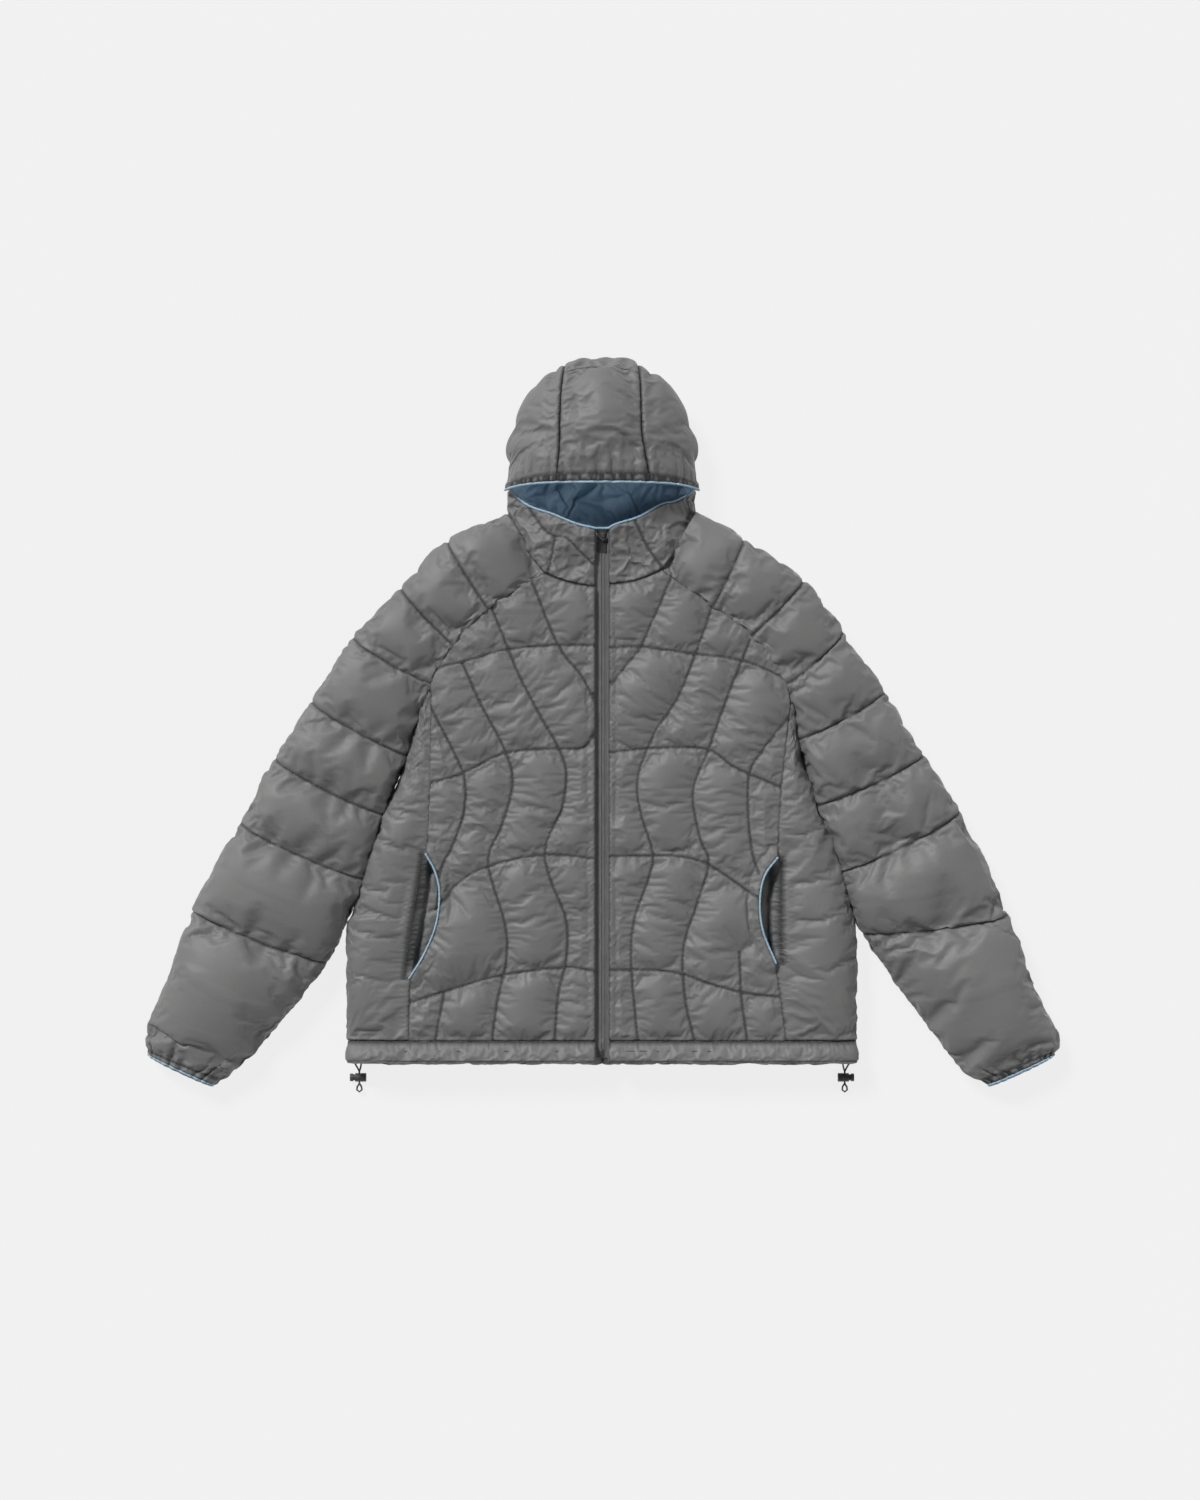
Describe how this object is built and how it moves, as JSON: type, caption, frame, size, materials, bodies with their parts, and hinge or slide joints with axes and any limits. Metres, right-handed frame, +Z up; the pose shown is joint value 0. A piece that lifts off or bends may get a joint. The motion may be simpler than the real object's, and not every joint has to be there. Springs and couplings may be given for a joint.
{
  "type": "hooded quilted jacket",
  "caption": "Hooded quilted down jacket, zipped up and laid flat on its back, with bound cuffs, curved side pockets and a hem drawcord with cord locks.",
  "frame": {"origin": "under the middle of the jacket's outline, on the surface it lies on", "axes": "+Z up off the surface, +Y from the hem to the hood, +X to the viewer's right; the jacket lies on its back with the zip facing +Z"},
  "size_m": [1.1606, 0.9404, 0.104],
  "materials": {
    "shell_nylon": "dark grey satin nylon taffeta",
    "lining_nylon": "dusty blue nylon taffeta",
    "insulation": "white down clusters",
    "binding_elastic": "light blue folded elastic tape",
    "drawcord": "braided elastic cord, near black",
    "spring_steel": "drawn wire",
    "lock_plastic": "moulded acetal, satin",
    "slider_metal": "grey lacquer",
    "zip_polyester": "woven polyester tape with moulded nylon coil"
  },
  "bodies": {
    "jacket": {"front_shell_right": "shell_nylon", "front_shell_left": "shell_nylon", "front_fill_right": "insulation", "front_fill_left": "insulation", "front_lining_right": "lining_nylon", "front_lining_left": "lining_nylon", "side_shell_right": "shell_nylon", "side_shell_left": "shell_nylon", "side_fill_right": "insulation", "side_fill_left": "insulation", "side_lining_right": "lining_nylon", "side_lining_left": "lining_nylon", "sleeve_upper_shell_right": "shell_nylon", "sleeve_upper_shell_left": "shell_nylon", "sleeve_upper_fill_right": "insulation", "sleeve_upper_fill_left": "insulation", "sleeve_upper_lining_right": "lining_nylon", "sleeve_upper_lining_left": "lining_nylon", "sleeve_lower_shell_right": "shell_nylon", "sleeve_lower_shell_left": "shell_nylon", "sleeve_lower_fill_right": "insulation", "sleeve_lower_fill_left": "insulation", "sleeve_lower_lining_right": "lining_nylon", "sleeve_lower_lining_left": "lining_nylon", "collar_shell_right": "shell_nylon", "collar_shell_left": "shell_nylon", "collar_fill_right": "insulation", "collar_fill_left": "insulation", "back_shell": "shell_nylon", "back_fill": "insulation", "back_lining": "lining_nylon", "hood_centre_shell": "shell_nylon", "hood_side_shell_right": "shell_nylon", "hood_side_shell_left": "shell_nylon", "hood_fill": "insulation", "hood_lining": "lining_nylon", "face_opening_binding": "binding_elastic", "cuff_binding_right": "binding_elastic", "cuff_binding_left": "binding_elastic", "pocket_binding_right": "binding_elastic", "pocket_binding_left": "binding_elastic", "pocket_bag_right": "shell_nylon", "pocket_bag_left": "shell_nylon", "hem_channel_front_right": "shell_nylon", "hem_channel_front_left": "shell_nylon", "hem_channel_back": "shell_nylon", "hem_drawcord": "drawcord", "zip_tape_right": "zip_polyester", "zip_tape_left": "zip_polyester", "zip_coil_right": "zip_polyester", "zip_coil_left": "zip_polyester", "zip_garage": "shell_nylon"},
    "slider": {"zip_slider": "slider_metal"},
    "pull": {"zip_pull": "slider_metal"},
    "lock_right": {"cord_lock_barrel_right": "lock_plastic", "cord_lock_spring_right": "spring_steel"},
    "plunger_right": {"cord_lock_plunger_right": "lock_plastic"},
    "lock_left": {"cord_lock_barrel_left": "lock_plastic", "cord_lock_spring_left": "spring_steel"},
    "plunger_left": {"cord_lock_plunger_left": "lock_plastic"}
  },
  "joints": [
    {"name": "zip_travel", "type": "slide", "parent": "jacket", "child": "slider", "axis": [0, -0.9997, -0.0225], "range_m": [0, 0.63]},
    {"name": "pull_swing", "type": "hinge", "parent": "slider", "child": "pull", "pos_m": [0, 0.23261, 0.04198], "axis": [1, 0, 0], "range_deg": [0, 25]},
    {"name": "cord_lock_right_slide", "type": "slide", "parent": "jacket", "child": "lock_right", "axis": [0, -1, 0], "range_m": [0, 0.003]},
    {"name": "plunger_right_press", "type": "slide", "parent": "lock_right", "child": "plunger_right", "axis": [-1, 0, 0], "range_m": [0, 0.0024], "stiffness_N_per_m": 600, "springref_m": -0.002, "deforming": ["cord_lock_spring_right"]},
    {"name": "cord_lock_left_slide", "type": "slide", "parent": "jacket", "child": "lock_left", "axis": [0, -1, 0], "range_m": [0, 0.003]},
    {"name": "plunger_left_press", "type": "slide", "parent": "lock_left", "child": "plunger_left", "axis": [1, 0, 0], "range_m": [0, 0.0024], "stiffness_N_per_m": 600, "springref_m": -0.002, "deforming": ["cord_lock_spring_left"]}
  ]
}
